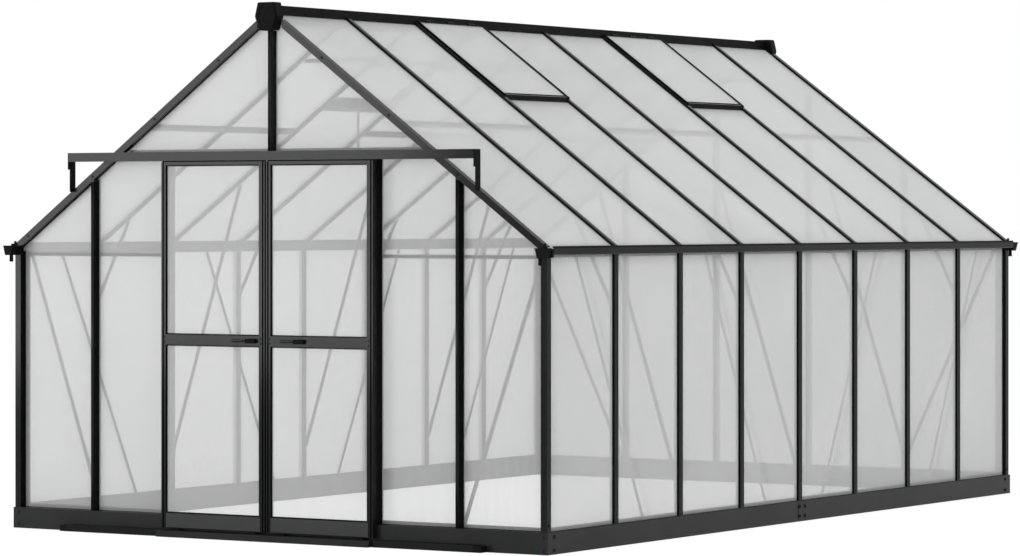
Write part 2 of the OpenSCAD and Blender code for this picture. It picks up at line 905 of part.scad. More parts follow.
module leaf_sheets() {
    y = (leaf_front + leaf_back - sheet_t) / 2;
    block([stile_left, y, leaf_z + leaf_kick],
          [leaf_w - stile_right, y + sheet_t, mid_z]);
    block([stile_left, y, mid_z + mid_h],
          [leaf_w - stile_right, y + sheet_t, leaf_zt - leaf_top]);
}

// A lever plate at the left and a grip at the right, on the mid rail
module leaf_handle() {
    z = mid_z + (mid_h - handle_h) / 2;
    r = handle_h / 2;
    block([0, leaf_front - handle_plate, z], [handle_l, leaf_front, z + handle_h]);
    block([0, leaf_front - lever_t, z + handle_plate],
          [handle_l - grip_l - r, leaf_front, z + handle_h - handle_plate]);
    across(leaf_front - grip_d, leaf_front) {
        translate([handle_l - grip_l + r, z]) square([grip_l - 2 * r, handle_h]);
        for (x = [handle_l - grip_l + r, handle_l - r])
            translate([x, z + r]) circle(r = r);
    }
}

// A roller on its hanger, running on the header rail's lip, and a guide shoe
module leaf_runner() {
    wheel_y = -rail_d + section_t + rail_lip - roller_w;
    hanger_y = wheel_y + roller_w + hanger_gap;
    axle_z = track_z + roller_gap + roller_d / 2;
    shoe_y = (leaf_front + leaf_back) / 2;
    translate([0, hanger_y, axle_z]) rotate([90, 0, 0])
        cylinder(d = roller_d / 2, h = hanger_y - wheel_y);
    translate([0, wheel_y + roller_w, axle_z]) rotate([90, 0, 0])
        cylinder(d = roller_d, h = roller_w);
    block([-roller_d / 2, hanger_y, leaf_zt],
          [roller_d / 2, hanger_y + section_t, axle_z + roller_d / 2]);
    block([-roller_d, shoe_y - leaf_t / 4, leaf_z / 2],
          [roller_d, shoe_y + leaf_t / 4, leaf_z]);
}

module leaf_runners() {
    for (x = [roller_in, leaf_w - roller_in]) translate([x, 0, 0]) leaf_runner();
}

module left_leaf() {
    front_end() translate([-leaf_out, 0, 0]) children();
}

module right_leaf() {
    front_end() translate([leaf_in, 0, 0]) children();
}

module door_left_frame() {
    color(frame_grey) left_leaf() leaf_frame();
}

module door_left_sheets() {
    color(sheet_white) left_leaf() leaf_sheets();
}

module door_left_handle() {
    color(cap_black) left_leaf()
        translate([leaf_w - handle_in_left - handle_l, 0, 0]) leaf_handle();
}

module door_left_runners() {
    color(cap_black) left_leaf() leaf_runners();
}

module door_right_frame() {
    color(frame_grey) right_leaf() leaf_frame();
}

module door_right_sheets() {
    color(sheet_white) right_leaf() leaf_sheets();
}

module door_right_handle() {
    color(cap_black) right_leaf() translate([handle_in_right, 0, 0]) leaf_handle();
}

module door_right_runners() {
    color(cap_black) right_leaf() leaf_runners();
}

base_front();
base_back();
base_left();
base_right();
corner_posts();
side_bars();
wall_sills();
eave_beams();
gutter_left();
gutter_right();
gutter_outlets();
front_studs();
door_jambs();
door_header();
back_studs();
front_transoms();
verge_rafters();
ridge_beam();
ridge_caps();
roof_bars();
roof_crossbars();
collar_ties();
knee_braces();
wall_braces();
side_sheets_left();
side_sheets_right();
roof_sheets_left();
roof_sheets_right();
front_sheets();
back_sheets();
vent_frames();
vent_sheets();
vent_stays();
header_rail();
track_ends();
ground_guide();
threshold_ramp();
door_left_frame();
door_left_sheets();
door_left_handle();
door_left_runners();
door_right_frame();
door_right_sheets();
door_right_handle();
door_right_runners();
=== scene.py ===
import json
import math
import bpy
import numpy as np
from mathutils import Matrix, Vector


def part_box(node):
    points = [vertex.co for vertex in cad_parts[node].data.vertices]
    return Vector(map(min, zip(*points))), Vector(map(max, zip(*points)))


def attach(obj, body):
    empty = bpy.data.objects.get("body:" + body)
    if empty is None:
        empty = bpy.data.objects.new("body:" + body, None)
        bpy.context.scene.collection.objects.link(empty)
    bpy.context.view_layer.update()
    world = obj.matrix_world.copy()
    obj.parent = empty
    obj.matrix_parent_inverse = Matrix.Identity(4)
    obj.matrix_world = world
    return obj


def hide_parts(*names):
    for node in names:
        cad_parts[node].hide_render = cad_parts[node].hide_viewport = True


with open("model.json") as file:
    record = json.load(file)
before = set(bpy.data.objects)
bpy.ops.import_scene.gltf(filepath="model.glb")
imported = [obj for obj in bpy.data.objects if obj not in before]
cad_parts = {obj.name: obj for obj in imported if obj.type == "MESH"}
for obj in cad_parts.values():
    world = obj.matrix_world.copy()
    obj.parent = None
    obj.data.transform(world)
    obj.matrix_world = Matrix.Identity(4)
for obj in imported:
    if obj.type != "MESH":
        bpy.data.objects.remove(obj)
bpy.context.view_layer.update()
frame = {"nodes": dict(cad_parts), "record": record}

scene = bpy.context.scene
scene.view_settings.view_transform = "Standard"

camera = {
    "place": (11.191, -18.0675, 1.542),  # metres, eye height, out in front to the right
    "turn": 32.195,                      # degrees to the left of straight ahead
    "lens": 143.03,                      # mm on a 36 mm sensor
    "drop": -0.06145,                    # shift that keeps the uprights upright
}
camData = bpy.data.cameras.new("camera")
camData.lens = camera["lens"]
camData.sensor_width = 36
camData.shift_y = camera["drop"]
camData.clip_end = 200
camObject = bpy.data.objects.new("camera", camData)
camObject.location = camera["place"]
camObject.rotation_euler = (math.radians(90), 0, math.radians(camera["turn"]))
scene.collection.objects.link(camObject)
scene.camera = camObject

# lines of the frame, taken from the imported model
nodeBox = {name: [np.array(corner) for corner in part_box(name)] for name in frame["nodes"]}
frontY = nodeBox["base_front"][0][1]
backY = nodeBox["base_back"][1][1]
baseTop = nodeBox["base_front"][1][2]
sheetOut = nodeBox["side_sheets_right"][1][0]       # outer face of the side sheets
postX = nodeBox["corner_posts"][1][0]               # outer face of the corner posts
wallTop = nodeBox["side_sheets_right"][1][2]        # foot of the eave beam
bays = {"first": 0.0215, "pitch": 0.606, "count": 8, "vents": (2, 5)}
barLines = frontY + bays["first"] + bays["pitch"] * np.arange(bays["count"] + 1)
wall = {"x": nodeBox["side_bars"][1][0], "sheet": 0.006, "web": 0.003, "endDepth": 0.040}
roof = {"pitch": math.radians(36), "eave": wallTop + 0.020, "ridgeHalf": 0.016, "fit": 0.0002,
        "proud": 0.013, "fin": 0.016, "flange": 0.003, "lip": 0.019, "rib": 0.0234}
capRoom = {"out": 0.070, "deep": 0.027}              # the ridge caps' room in the end bays
roofRun = np.array([math.cos(roof["pitch"]), 0, -math.sin(roof["pitch"])])     # down the right slope
roofUp = np.array([math.sin(roof["pitch"]), 0, math.cos(roof["pitch"])])       # out of the right slope


def roofZ(x, v=0.0):
    # height of the plane v outside the roof sheets, at the distance x from the ridge
    return roof["eave"] + (wall["x"] - np.abs(x)) * math.tan(roof["pitch"]) + v / math.cos(roof["pitch"])


print("frame read:", len(frame["nodes"]), "nodes")


def newMaterial(name):
    # a fresh material with its shader and its coordinates to hand
    material = bpy.data.materials.new(name)
    material.use_nodes = True
    nodes = material.node_tree.nodes
    shader = nodes["Principled BSDF"]
    coords = nodes.new("ShaderNodeTexCoord")
    return material, nodes, material.node_tree.links, shader, coords


def noiseNode(nodes, links, coords, scale, detail=3.0, stretch=(1, 1, 1)):
    # noise on the object's own coordinates, stretched along its axes
    mapping = nodes.new("ShaderNodeMapping")
    mapping.inputs["Scale"].default_value = stretch
    links.new(coords.outputs["Object"], mapping.inputs["Vector"])
    noise = nodes.new("ShaderNodeTexNoise")
    noise.inputs["Scale"].default_value = scale
    noise.inputs["Detail"].default_value = detail
    links.new(mapping.outputs["Vector"], noise.inputs["Vector"])
    return noise


def rampNode(nodes, links, source, low, high, lowAt=0.3, highAt=0.7):
    # turns a grey value into a blend of two colours
    ramp = nodes.new("ShaderNodeValToRGB")
    ramp.color_ramp.elements[0].position = lowAt
    ramp.color_ramp.elements[1].position = highAt
    ramp.color_ramp.elements[0].color = (*low, 1)
    ramp.color_ramp.elements[1].color = (*high, 1)
    links.new(source, ramp.inputs["Fac"])
    return ramp


def rangeNode(nodes, links, source, low, high):
    # turns a grey value into a number between low and high
    ranged = nodes.new("ShaderNodeMapRange")
    ranged.inputs["From Min"].default_value = 0.3
    ranged.inputs["From Max"].default_value = 0.7
    ranged.inputs["To Min"].default_value = low
    ranged.inputs["To Max"].default_value = high
    links.new(source, ranged.inputs["Value"])
    return ranged


def bumpNode(nodes, links, source, strength, distance):
    # turns a grey value into small heights
    bump = nodes.new("ShaderNodeBump")
    bump.inputs["Strength"].default_value = strength
    bump.inputs["Distance"].default_value = distance
    links.new(source, bump.inputs["Height"])
    return bump


def coatedMetal(name, look):
    # powder coat: fine orange peel, faint cloudiness, roughness that wanders
    material, nodes, links, shader, coords = newMaterial(name)
    cloud = noiseNode(nodes, links, coords, 2.3, 4)
    peel = noiseNode(nodes, links, coords, 420, 2)
    dust = noiseNode(nodes, links, coords, 34, 5)
    tint = rampNode(nodes, links, cloud.outputs["Fac"], look["dark"], look["light"])
    links.new(tint.outputs["Color"], shader.inputs["Base Color"])
    rough = rangeNode(nodes, links, dust.outputs["Fac"], *look["rough"])
    links.new(rough.outputs["Result"], shader.inputs["Roughness"])
    bump = bumpNode(nodes, links, peel.outputs["Fac"], 0.25, look["peel"])
    links.new(bump.outputs["Normal"], shader.inputs["Normal"])
    shader.inputs["Specular IOR Level"].default_value = look["specular"]
    return material


def flutedSheet(name, look, across):
    # twin-wall sheet: faint ribs where the webs meet the skin, across them along one axis
    material, nodes, links, shader, coords = newMaterial(name)
    ribs = nodes.new("ShaderNodeTexWave")
    ribs.wave_type = "BANDS"
    ribs.bands_direction = across
    ribs.wave_profile = "SIN"
    ribs.inputs["Scale"].default_value = math.pi / (10 * look["pitch"])
    ribs.inputs["Distortion"].default_value = 0
    links.new(coords.outputs["Object"], ribs.inputs["Vector"])
    haze = noiseNode(nodes, links, coords, 1.7, 3)
    tint = rampNode(nodes, links, haze.outputs["Fac"], look["dark"], look["light"])
    links.new(tint.outputs["Color"], shader.inputs["Base Color"])
    rough = rangeNode(nodes, links, haze.outputs["Fac"], *look["rough"])
    links.new(rough.outputs["Result"], shader.inputs["Roughness"])
    bump = bumpNode(nodes, links, ribs.outputs["Fac"], 0.3, look["ribs"])
    links.new(bump.outputs["Normal"], shader.inputs["Normal"])
    shader.inputs["Alpha"].default_value = look["cover"]
    shader.inputs["IOR"].default_value = 1.45
    return material


flute = {"pitch": 0.006}             # from web to web in a twin-wall sheet
frameLook = {"dark": (0.0075, 0.0078, 0.0080), "light": (0.0115, 0.0118, 0.0120), "rough": (0.10, 0.14),
             "peel": 0.000012, "specular": 0.08}
# base steel: its own dark coat, lightened to paint in the light reflected on its front, partly painted
# reflection
baseToneAndReflection = {"dark": (0.016, 0.0163, 0.0166), "light": (0.022, 0.0223, 0.0226), "rough": (0.16, 0.22),
            "peel": 0.00002, "specular": 0.10}
# kick strips: a lighter copy of the frame's coat, painted reflection of the bright ground in front of the
# doors
kickReflectionTone = {"dark": (0.044, 0.0445, 0.045), "light": (0.050, 0.0505, 0.051), "rough": (0.12, 0.15),
            "peel": 0.000012, "specular": 0.10}
# black plastic; the same finish paints the shade along the gutters' outer lips
plasticAndShadeTone = {"dark": (0.0035, 0.0035, 0.0036), "light": (0.0065, 0.0065, 0.0067), "rough": (0.45, 0.58),
               "peel": 0.00006, "specular": 0.045}
rubberLook = {"dark": (0.0022, 0.0022, 0.0023), "light": (0.004, 0.004, 0.0042), "rough": (0.60, 0.75),
              "peel": 0.00005, "specular": 0.06}
# zinc for the vent stays; the same finish paints the highlight along the vents' low rails
zincAndGlintTone = {"dark": (0.16, 0.163, 0.166), "light": (0.24, 0.243, 0.246), "rough": (0.34, 0.46),
            "peel": 0.00003, "specular": 0.4}
sheetLook = {"dark": (0.83, 0.832, 0.834), "light": (0.88, 0.881, 0.882), "rough": (0.28, 0.36),
             "ribs": 0.0004, "pitch": flute["pitch"], "cover": 0.235}
webLook = dict(sheetLook, cover=0.46)
edgeLook = dict(sheetLook, cover=0.85)

frameCoat = coatedMetal("frameCoat", frameLook)
baseFinishAndReflection = coatedMetal("baseFinishAndReflection", baseToneAndReflection)
kickReflectionFinish = coatedMetal("kickReflectionFinish", kickReflectionTone)
darkPlasticAndShade = coatedMetal("darkPlasticAndShade", plasticAndShadeTone)
rubberSeal = coatedMetal("rubberSeal", rubberLook)
zincAndGlintFinish = coatedMetal("zincAndGlintFinish", zincAndGlintTone)
zincAndGlintFinish.node_tree.nodes["Principled BSDF"].inputs["Metallic"].default_value = 0.9
sheetFaces = {}
for across in ("X", "Y"):
    sheetFaces[across] = [flutedSheet("sheetSkin" + across, sheetLook, across),
                          flutedSheet("sheetWeb" + across, webLook, across),
                          flutedSheet("sheetEdge" + across, edgeLook, across)]

slotFinish = {"frame_aluminium": frameCoat, "base_steel": baseFinishAndReflection, "black_plastic": darkPlasticAndShade,
              "stay_metal": zincAndGlintFinish, "polycarbonate_sheet": sheetFaces["Y"][0]}
nodeFinish = {"ridge_beam": darkPlasticAndShade, "vent_frames": darkPlasticAndShade}
nodeSlot = {part["node"]: part["material_slot"] for part in frame["record"]["subparts"]}
for name, node in frame["nodes"].items():
    node.data.materials.clear()
    node.data.materials.append(nodeFinish.get(name, slotFinish[nodeSlot[name]]))
print("finishes mixed:", len(slotFinish))


def addPiece(name, verts, faces, finishes, body, replaced=(), finishIndex=None, smooth=False):
    # verts: rows of x, y, z; faces: rows of four vertex numbers
    verts = np.asarray(verts, float).reshape(-1, 3)
    faces = np.asarray(faces, int).reshape(-1, 4)
    mesh = bpy.data.meshes.new(name)
    mesh.vertices.add(len(verts))
    mesh.vertices.foreach_set("co", verts.ravel())
    mesh.loops.add(faces.size)
    mesh.loops.foreach_set("vertex_index", faces.ravel())
    mesh.polygons.add(len(faces))
    mesh.polygons.foreach_set("loop_start", np.arange(0, faces.size, 4))
    mesh.polygons.foreach_set("loop_total", np.full(len(faces), 4))
    for finish in finishes:
        mesh.materials.append(finish)
    if finishIndex is not None:
        mesh.polygons.foreach_set("material_index", np.asarray(finishIndex, int))
    mesh.polygons.foreach_set("use_smooth", np.full(len(faces), smooth))
    mesh.update(calc_edges=True)
    mesh.validate()
    piece = bpy.data.objects.new(name, mesh)
    scene.collection.objects.link(piece)
    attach(piece, body)
    if replaced:
        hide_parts(*replaced)
    return piece


def gridFaces(rows, columns, start=0):
    # the quads of a grid of rows x columns points
    i, j = np.meshgrid(np.arange(rows - 1), np.arange(columns - 1), indexing="ij")
    corner = start + i * columns + j
    return np.stack([corner, corner + 1, corner + columns + 1, corner + columns], -1).reshape(-1, 4)


def twinWall(origin, across, along, outward, thick, span, low, high):
    # point(i, j, k) = origin + u_i across + (low(u_i) or high(u_i)) along - k thick outward:
    # two skins over the same u_i, a web between them at each u_i, and four closed edges
    count = max(2, int(round((span[1] - span[0]) / flute["pitch"])))
    u = np.linspace(span[0], span[1], count + 1)
    ends = np.stack([low(u), high(u)], -1)                             # (n, 2)
    points = (np.asarray(origin) + u[:, None, None, None] * np.asarray(across)
              + ends[:, :, None, None] * np.asarray(along)
              - np.array([0, thick])[None, None, :, None] * np.asarray(outward))   # (n, 2, 2, 3)
    index = np.arange(points.size // 3).reshape(len(u), 2, 2)
    a, b = index[:-1], index[1:]
    outer = np.stack([a[:, 0, 0], b[:, 0, 0], b[:, 1, 0], a[:, 1, 0]], -1)
    inner = np.stack([a[:, 0, 1], a[:, 1, 1], b[:, 1, 1], b[:, 0, 1]], -1)
    foot = np.stack([a[:, 0, 0], a[:, 0, 1], b[:, 0, 1], b[:, 0, 0]], -1)
    head = np.stack([a[:, 1, 0], b[:, 1, 0], b[:, 1, 1], a[:, 1, 1]], -1)
    webs = index[:, [0, 0, 1, 1], [0, 1, 1, 0]]
    sides = webs[[0, -1]]
    webs = webs[1:-1]
    faces = np.concatenate([outer, inner, webs, foot, head, sides])
    kind = np.repeat([0, 0, 1, 2, 2, 2], [len(outer), len(inner), len(webs), len(foot), len(head), 2])
    if np.dot(np.cross(across, along), outward) < 0:
        faces = faces[:, ::-1]
    return points.reshape(-1, 3), faces, kind


def joinPanels(panels):
    # one mesh from several: vertex numbers move up by what came before
    verts, faces, kinds, start = [], [], [], 0
    for v, f, k in panels:
        verts.append(v)
        faces.append(f + start)
        kinds.append(k)
        start += len(v)
    return np.concatenate(verts), np.concatenate(faces), np.concatenate(kinds)


def tubes(points):
    # points(n, ring, k): closed rings joined one to the next, the first and the last closed by a
    # ladder of quads across the ring; a ring is as many points as two equal rails need
    points = np.asarray(points, float)
    count, rings, around = points.shape[:3]
    i, k = np.meshgrid(np.arange(rings - 1), np.arange(around), indexing="ij")
    after = (k + 1) % around
    walls = np.stack([i * around + k, i * around + after,
                      (i + 1) * around + after, (i + 1) * around + k], -1)
    j = np.arange(around // 2 - 1)
    rungs = np.stack([j, j + 1, around - 2 - j, around - 1 - j], -1)
    faces = np.concatenate([walls.reshape(-1, 4), rungs[:, ::-1], rungs + (rings - 1) * around])
    corners = points.reshape(count, -1, 3)[:, faces]                   # (n, faces, 4, 3)
    a, b, c, d = np.moveaxis(corners, 2, 0)
    volume = (a * (np.cross(b, c) + np.cross(c, d))).sum((1, 2))
    faces = np.where(volume[:, None, None] < 0, faces[None, :, ::-1], faces[None])
    faces = faces + (np.arange(count) * rings * around)[:, None, None]
    return points.reshape(-1, 3), faces.reshape(-1, 4), np.zeros(faces.shape[0] * faces.shape[1], int)


def rowsAlike(*lists):
    # each list as rows of x, y, z, repeated until all have as many rows
    return np.broadcast_arrays(*(np.atleast_2d(np.asarray(rows, float)) for rows in lists))


def prisms(profile, starts, ends, side, up):
    # point(n, e, k) = start or end of n + a_k side + b_k up
    starts, ends, side, up = rowsAlike(starts, ends, side, up)
    a, b = np.asarray(profile, float).T
    ring = a[None, :, None] * side[:, None] + b[None, :, None] * up[:, None]
    return tubes(np.stack([starts[:, None] + ring, ends[:, None] + ring], 1))


def lathes(profile, centres, axes, steps=12):
    # point(n, r, t) = centre + radius_r (cos t e1 + sin t e2) + height_r axis
    centres, axes = rowsAlike(centres, axes)
    axes = axes / np.linalg.norm(axes, axis=1)[:, None]
    helper = np.where(np.abs(axes[:, 2:3]) < 0.9, [[0.0, 0, 1]], [[1.0, 0, 0]])
    first = np.cross(helper, axes)
    first /= np.linalg.norm(first, axis=1)[:, None]
    second = np.cross(axes, first)
    t = np.arange(steps) * 2 * math.pi / steps
    spokes = np.cos(t)[None, :, None] * first[:, None] + np.sin(t)[None, :, None] * second[:, None]
    radius, height = np.asarray(profile, float).T
    return tubes(centres[:, None, None] + radius[None, :, None, None] * spokes[:, None]
                 + height[None, :, None, None] * axes[:, None, None])


def roundedRect(width, height, radius, steps=3):
    # four quarter arcs of the given radius, anticlockwise
    t = np.linspace(0, math.pi / 2, steps + 1)
    corners = [(1, 1), (-1, 1), (-1, -1), (1, -1)]
    arcs = [np.stack([sx * (width / 2 - radius) + radius * np.cos(t + q * math.pi / 2),
                      sy * (height / 2 - radius) + radius * np.sin(t + q * math.pi / 2)], -1)
            for q, (sx, sy) in enumerate(corners)]
    return np.concatenate(arcs)


def boltHeads(centres, axes, size):
    # a washer, a six-sided head on it and a shallow crown, size = width over the head's corners
    washer = size * np.array([(0.85, 0), (0.85, 0.14), (0.80, 0.18)])
    head = size * np.array([(0.5, 0.1), (0.5, 0.46), (0.44, 0.54), (0.20, 0.56)])
    return [lathes(washer, centres, axes, 16), lathes(head, centres, axes, 6)]


def dressPiece(name, parts, finish, body, replaced=(), smooth=False):
    # several parts as one piece in one finish
    verts, faces, kinds = joinPanels(parts)
    return addPiece(name, verts, faces, [finish], body, replaced, kinds, smooth)


def sheetPiece(name, panels, axis, body, node):
    # panels of twin-wall sheet as one piece, in the place of a flat CAD sheet
    verts, faces, kinds = joinPanels(panels)
    return addPiece(name, verts, faces, sheetFaces[axis], body, (node,), kinds)


def flat(value):
    # the same height all along a panel
    return lambda u: np.full(len(u), value)


def bayEdges(i, endInset):
    # clear run of bay i between the webs of its two bars
    first = frontY + endInset if i == 0 else barLines[i] + wall["web"] / 2
    last = backY - endInset if i == bays["count"] - 1 else barLines[i + 1] - wall["web"] / 2
    return first, last


def besideCap(start):
    # upper edge of a roof panel: lower down where a ridge cap takes the room
    under = max(start, capRoom["out"] / math.cos(roof["pitch"]))
    return lambda u: np.where((u < frontY + capRoom["deep"]) | (u > backY - capRoom["deep"]), under, start)


for sideName, side in (("Left", -1), ("Right", 1)):
    low, high = nodeBox["side_sheets_right"][0][2], nodeBox["side_sheets_right"][1][2]
    panels = [twinWall((side * sheetOut, 0, 0), (0, 1, 0), (0, 0, 1), (side, 0, 0), wall["sheet"],
                       bayEdges(i, wall["endDepth"]), flat(low), flat(high)) for i in range(bays["count"])]
    sheetPiece("sideGlazing" + sideName, panels, "Y", "greenhouse", "side_sheets_" + sideName.lower())

    run = roofRun * (side, 1, 1)
    up = roofUp * (side, 1, 1)
    top = np.array([0, 0, roofZ(0, -roof["fit"])])
    reach = nodeBox["roof_sheets_right"][1][0] / math.cos(roof["pitch"])
    ventLow = nodeBox["vent_frames"][1][0]
    panels = []
    for i in range(bays["count"]):
        start = (ventLow if i in bays["vents"] else roof["ridgeHalf"]) / math.cos(roof["pitch"])
        panels.append(twinWall(top, (0, 1, 0), run, up, wall["sheet"], bayEdges(i, roof["fin"]),
                               besideCap(start), flat(reach)))
    sheetPiece("roofGlazing" + sideName, panels, "Y", "greenhouse", "roof_sheets_" + sideName.lower())

# gable sheets: the top follows the roof and stops under the ridge beam
ridgeFoot = nodeBox["ridge_beam"][0][2]
vergeSeat = -wall["sheet"] - roof["flange"] - 3 * roof["fit"]


def underRoof(limit=99.0):
    # top of a gable panel: the lower of the roof's underside and the limit
    def top(u):
        z = np.minimum(roofZ(u, vergeSeat), limit)
        return np.where(np.abs(u) < roof["ridgeHalf"], np.minimum(z, ridgeFoot), z)
    return top


def gablePanel(end, side, span, foot, limit=99.0):
    # an upright panel in the front wall (end -1) or the back wall (end 1)
    y = (frontY if end < 0 else backY) - end * wall["endDepth"]
    return twinWall((0, y, 0), (side, 0, 0), (0, 0, 1), (0, end, 0), wall["sheet"], span, flat(foot),
                    underRoof(limit))


gable = {"jamb": 0.606, "stud": 1.059, "backIn": 0.301, "backOut": 0.910, "sillUp": 0.003,
         "edge": sheetOut - 0.009,
         "header": nodeBox["header_rail"][0][2], "headerTop": nodeBox["header_rail"][0][2] + 0.034}
half = wall["web"] / 2                               # half of a web between two sheets
sill = baseTop + gable["sillUp"]
panels = []
for side in (-1, 1):
    for xa, xb, z0, limit in ((gable["jamb"] + half, gable["stud"] - half, sill, gable["header"]),
                              (gable["stud"] + half, gable["edge"], sill, 99)):
        panels.append(gablePanel(-1, side, (xa, xb), z0, limit))
    rise = gable["headerTop"] - roof["eave"] - vergeSeat / math.cos(roof["pitch"])
    apex = wall["x"] - rise / math.tan(roof["pitch"])
    panels.append(gablePanel(-1, side, (half, apex), gable["headerTop"]))
sheetPiece("frontGlazing", panels, "X", "greenhouse", "front_sheets")

panels = [gablePanel(1, 1, (half - gable["backIn"], gable["backIn"] - half), sill)]
for side in (-1, 1):
    for xa, xb in ((gable["backIn"] + half, gable["backOut"] - half),
                   (gable["backOut"] + half, gable["edge"])):
        panels.append(gablePanel(1, side, (xa, xb), sill))
sheetPiece("backGlazing", panels, "X", "greenhouse", "back_sheets")

# vent sheets and door sheets
vent = {"wall": 0.0155, "rail": 0.015, "rise": 0.019}
panels = []
for side in (-1, 1):
    run = roofRun * (side, 1, 1)
    up = roofUp * (side, 1, 1)
    top = np.array([0, 0, roofZ(0, vent["rise"])])
    for i in bays["vents"]:
        panels.append(twinWall(top, (0, 1, 0), run, up, wall["sheet"],
                               (barLines[i] + vent["wall"], barLines[i + 1] - vent["wall"]),
                               flat((roof["ridgeHalf"] + vent["rail"]) / math.cos(roof["pitch"])),
                               flat((ventLow - vent["rail"]) / math.cos(roof["pitch"]))))
sheetPiece("ventGlazing", panels, "Y", "greenhouse", "vent_sheets")

door = {"midLow": 0.921, "midTop": 0.971}
for sideName in ("left", "right"):
    low, high = nodeBox["door_" + sideName + "_sheets"]
    panels = [twinWall((0, low[1], 0), (1, 0, 0), (0, 0, 1), (0, -1, 0), wall["sheet"],
                       (low[0], high[0]), flat(z0), flat(z1))
              for z0, z1 in ((low[2], door["midLow"]), (door["midTop"], high[2]))]
    body = "door_" + sideName
    sheetPiece("doorGlazing" + sideName.capitalize(), panels, "X", body, body + "_sheets")
print("sheets glazed")

# rounded noses on the fins of the front studs, jambs and centre stud
acrossX, outFront, upright = np.array([1.0, 0, 0]), np.array([0, -1.0, 0]), np.array([0, 0, 1.0])
nose = {"width": 0.015, "proud": 0.0024, "steps": 8, "gap": 0.001}
studs = {"fin": 0.016, "lines": np.array([-gable["stud"], -gable["jamb"], gable["jamb"], gable["stud"]])}
seal = {"depth": 0.032, "thick": 0.0012, "in": 0.020, "off": 0.0004, "postIn": 0.0334, "postDeep": 0.0225,
        "barHigh": 0.0115, "barThick": 0.0010}
vergeFoot = -roof["lip"] - roof["fit"]


def studTop(x):
    # a jamb ends under the header, a stud under the verge rafter
    under = roofZ(np.abs(x) + studs["fin"] / 2, vergeFoot)
    return np.where(np.abs(x) < gable["jamb"] + 0.01, gable["header"], under)


arch = np.linspace(0, math.pi, nose["steps"])
noseProfile = np.stack([-nose["width"] / 2 * np.cos(arch), nose["proud"] * np.sin(arch)], -1)
studX = studs["lines"]
studFace = np.full(len(studX), frontY)
footRow = np.stack([studX, studFace, np.full(len(studX), baseTop)], -1)
headRow = np.stack([studX, studFace, studTop(studX) - nose["gap"]], -1)
capFoot = nodeBox["ridge_caps"][0][2]
centreFoot, centreHead = (0, frontY, gable["headerTop"]), (0, frontY, capFoot - nose["gap"])
parts = [prisms(noseProfile, footRow, headRow, acrossX, outFront),
         prisms(noseProfile, centreFoot, centreHead, acrossX, outFront)]
dressPiece("studNoses", parts, frameCoat, "greenhouse", smooth=True)

# black strips along the studs' flanks, the corner posts' inner flanks and the side bars' flanks
sealProfile = roundedRect(seal["thick"], seal["depth"], 0.0005, 1)
barSeal = roundedRect(seal["barHigh"], seal["barThick"], 0.0004, 1)
parts = []
for flank in (-1, 1):
    shift = np.array([flank * (studs["fin"] / 2 + seal["off"]), seal["in"], 0])
    parts.append(prisms(sealProfile, footRow + shift, headRow + shift, acrossX, outFront))
    postFlank = np.array([flank * (postX - seal["postIn"]), frontY + seal["postDeep"], baseTop])
    parts.append(prisms(sealProfile, postFlank, postFlank + (0, 0, wallTop - baseTop), acrossX, outFront))
barCap = {"width": 0.036, "proud": 0.013, "rib": 0.014, "ribHigh": 0.0020, "ribUp": 0.004, "ribShort": 0.010}
barY = barLines[1:-1]


def barRow(x, z, shift=0.0):
    # one point at each bar line between the end walls
    return np.stack([np.full(len(barY), x), barY + shift, np.full(len(barY), z)], -1)


for side in (-1, 1):
    for flank in (-1, 1):
        edge = barRow(side * (wall["x"] - barCap["proud"] / 2), sill,
                      flank * (barCap["width"] / 2 + roof["fit"]))
        parts.append(prisms(barSeal, edge, edge + (0, 0, wallTop - sill - 0.001), acrossX, outFront))
dressPiece("flankBlackStrips", parts, rubberSeal, "greenhouse")

# a raised band down the middle of each side bar's cap
parts = []
for side in (-1, 1):
    middle = barRow(side * wall["x"], baseTop + barCap["ribUp"])
    parts.append(prisms(roundedRect(barCap["ribHigh"], barCap["rib"], 0.0009, 2), middle,
                        middle + (0, 0, wallTop - baseTop - barCap["ribShort"]), acrossX, (0, 1, 0)))
dressPiece("barBands", parts, frameCoat, "greenhouse")

# black plugs on the eave ends of the roof bars, laid along the slope
plug = {"width": 0.027, "height": 0.016, "from": wall["x"] - 0.004, "to": wall["x"] + 0.011}
parts = []
for side in (-1, 1):
    start, end = (barRow(side * x, roofZ(x, roof["proud"] / 2)) for x in (plug["from"], plug["to"]))
    parts.append(prisms(roundedRect(plug["width"], plug["height"], 0.003, 2), start, end,
                        (0, 1, 0), roofUp * (side, 1, 1)))
dressPiece("barPlugs", parts, darkPlasticAndShade, "greenhouse")

# gutter outlets: a hopper with a sunk top, a barbed spout and the nub before the verge's end
outlet = {"top": nodeBox["gutter_right"][1][2] - 0.009, "height": 0.047, "width": 0.066, "foot": 0.041,
          "reach": 0.053, "tab": 0.012, "rim": 0.004, "sunk": 0.012, "wall": 0.003, "soft": 0.0006,
          "edge": 0.0015, "flare": 0.003, "taper": 0.012, "corner": 0.003,
          "spoutIn": 0.015, "spoutSide": 0.010, "nub": (0.013, 0.006, 0.022)}


def hopperRing(width, z, shrink=0.0):
    # a rounded rectangle lying flat, as x, y, z
    ring = roundedRect(width - 2 * shrink, outlet["reach"] - 2 * shrink, outlet["corner"])
    return np.column_stack([ring, np.full(len(ring), z)])


